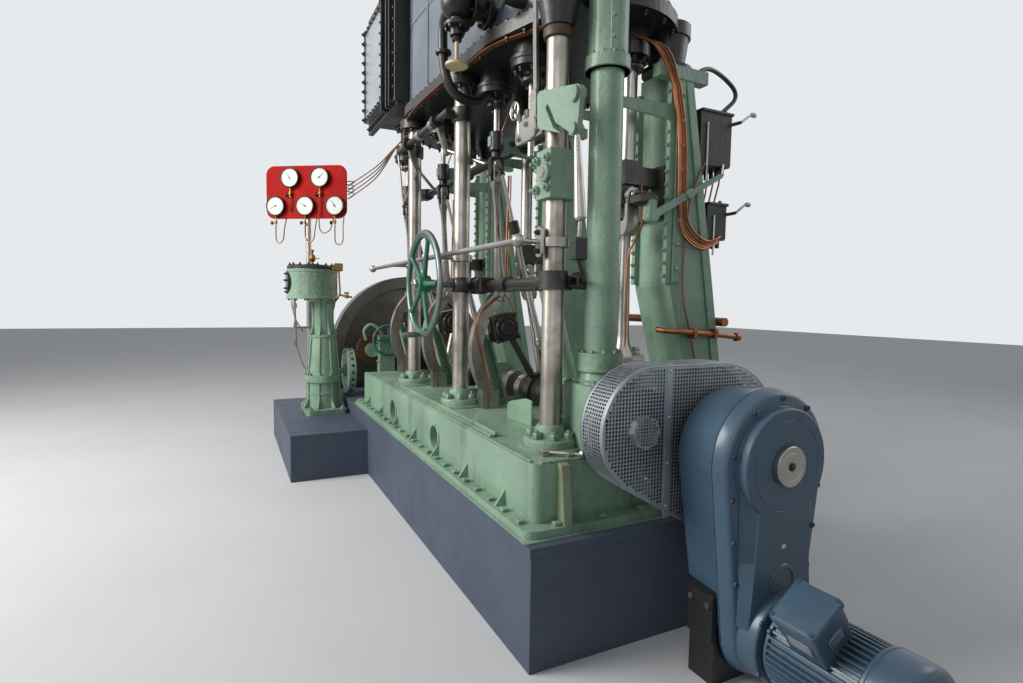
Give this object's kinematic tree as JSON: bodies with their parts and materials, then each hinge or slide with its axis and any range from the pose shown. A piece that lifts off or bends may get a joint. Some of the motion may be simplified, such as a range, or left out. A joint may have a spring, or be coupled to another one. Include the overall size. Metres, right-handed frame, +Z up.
{
  "type": "stationary steam engine",
  "caption": "Vertical inverted-cylinder steam engine on a ribbed bedplate and plinth, with valve gear, chain guard, turning gearmotor, auxiliary engine and gauge board.",
  "frame": {"origin": "on the floor under the crank axis, at the middle of the bedplate", "axes": "+X along the crank axis to the driven end, -Y to the operating side, +Z up"},
  "size_m": [6.2896, 2.5517, 4.53],
  "materials": {
    "black_iron": "black painted cast iron",
    "board_red": "gloss red paint",
    "bright_sheet": "brushed sheet cover",
    "casing_sheet": "blue-grey sheet cladding",
    "copper_pipe": "tarnished copper",
    "dark_green_paint": "gloss deep green paint on cast iron",
    "dark_steel": "oiled dark steel",
    "disc_cream": "cream paint",
    "drive_paint": "satin blue-grey machine paint",
    "gauge_face": "white dial in a dark bezel",
    "green_paint": "worn gloss sage green paint on cast iron",
    "guard_sheet": "galvanised perforated sheet",
    "plinth_paint": "satin blue-grey paint",
    "polished_steel": "bright turned steel",
    "wheel_rim": "polished rim with green spokes"
  },
  "bodies": {
    "engine": {"plinth": "plinth_paint", "bedplate": "green_paint", "bearing_caps": "green_paint", "crankshaft": "dark_steel", "connecting_rods": "polished_steel", "crossheads": "polished_steel", "piston_rods": "polished_steel", "front_columns": "polished_steel", "back_column_near": "green_paint", "back_column_middle": "green_paint", "back_column_far": "green_paint", "cylinder_base": "black_iron", "cylinder_casing": "casing_sheet", "cylinder_covers": "black_iron", "valve_chest": "black_iron", "valve_chest_cover": "bright_sheet", "valve_spindles": "polished_steel", "valve_rods": "polished_steel", "curved_levers": "polished_steel", "eccentric_rods": "dark_steel", "gear_heads": "black_iron", "gear_stays": "green_paint", "weigh_shaft": "polished_steel", "reversing_shaft": "dark_steel", "column_ball": "dark_steel", "column_brackets": "green_paint", "handrail": "polished_steel", "tube_column": "green_paint", "tube_column_foot": "green_paint", "feed_pipe": "copper_pipe", "lubricators": "black_iron", "stop_valve": "black_iron", "chain_guard": "guard_sheet", "drive_chain": "dark_steel", "gearbox": "drive_paint", "gearbox_cover": "drive_paint", "motor": "drive_paint", "gearmotor_base": "black_iron", "flywheel": "black_iron", "outer_bearing": "green_paint", "turning_gear": "copper_pipe", "turning_bracket": "green_paint", "auxiliary_frame": "green_paint", "auxiliary_shaft": "polished_steel", "auxiliary_cylinder": "green_paint", "gauge_board": "board_red", "gauges": "gauge_face", "gauge_post": "polished_steel"},
    "reversing_wheel": {"reversing_handwheel": "wheel_rim"},
    "stop_valve_handle": {"stop_valve_wheel": "disc_cream"},
    "turning_wheel": {"turning_handwheel": "dark_green_paint"}
  },
  "joints": [
    {"name": "reversing_wheel_turn", "type": "hinge", "parent": "engine", "child": "reversing_wheel", "pos_m": [0.25, -0.85, 1.71], "axis": [0, -1, 0], "range_deg": [-1890, 1890]},
    {"name": "stop_valve_turn", "type": "hinge", "parent": "engine", "child": "stop_valve_handle", "pos_m": [0.76, -0.82, 2.95], "axis": [0, 0, 1], "range_deg": [0, 1080]},
    {"name": "turning_wheel_turn", "type": "hinge", "parent": "engine", "child": "turning_wheel", "pos_m": [-2, -0.515, 1.175], "axis": [1, 0, 0], "continuous": true}
  ]
}
